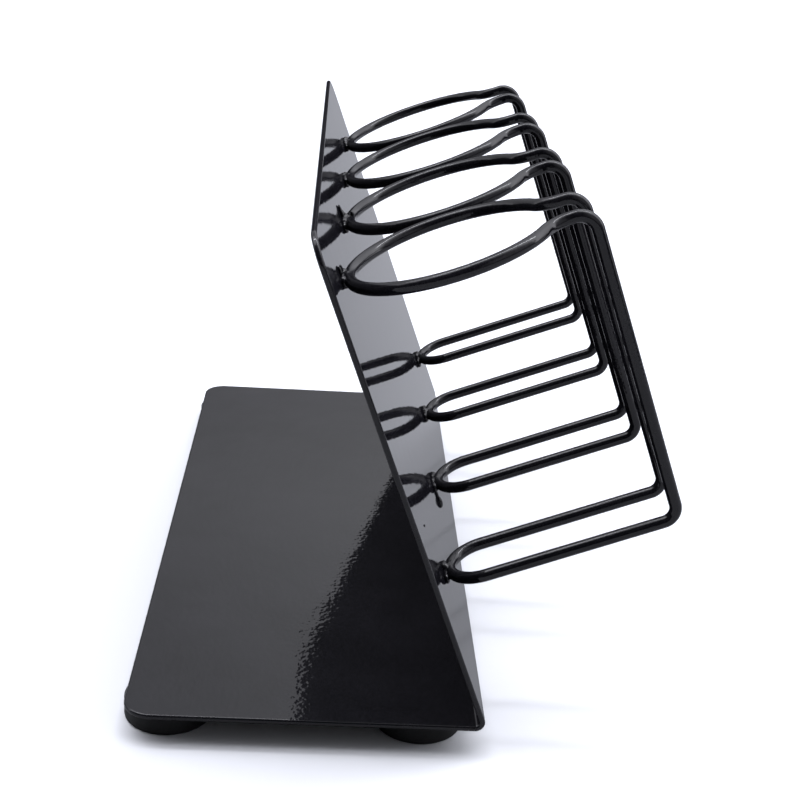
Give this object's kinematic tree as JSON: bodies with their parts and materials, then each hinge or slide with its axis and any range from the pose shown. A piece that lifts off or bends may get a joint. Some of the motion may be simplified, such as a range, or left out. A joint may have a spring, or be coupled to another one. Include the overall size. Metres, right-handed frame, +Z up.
{
  "type": "ring holder display stand",
  "caption": "Gloss black counter stand: a bent steel sheet makes a flat base on rubber feet and a leaning panel that carries a row of wire ring holders, each with a two-wire rest below.",
  "frame": {"origin": "on the floor, under the middle of the stand's bounding box", "axes": "+X along the row of holders, -Y is the front with the holders, +Z up"},
  "size_m": [0.312, 0.1816, 0.1801],
  "materials": {
    "gloss_black": "gloss black powder coat with a slight orange peel, on bent sheet, round wire and weld beads",
    "rubber": "matt black moulded rubber",
    "foam_tape": "dark grey double-sided foam tape"
  },
  "bodies": {
    "root": {"stand_sheet": "gloss_black", "wire_holder_1": "gloss_black", "wire_holder_2": "gloss_black", "wire_holder_3": "gloss_black", "wire_holder_4": "gloss_black", "weld_upper_1": "gloss_black", "weld_upper_2": "gloss_black", "weld_upper_3": "gloss_black", "weld_upper_4": "gloss_black", "weld_lower_1": "gloss_black", "weld_lower_2": "gloss_black", "weld_lower_3": "gloss_black", "weld_lower_4": "gloss_black", "foot_1": "rubber", "foot_2": "rubber", "foot_3": "rubber", "foot_4": "rubber", "foot_tape_1": "foam_tape", "foot_tape_2": "foam_tape", "foot_tape_3": "foam_tape", "foot_tape_4": "foam_tape"}
  },
  "joints": []
}
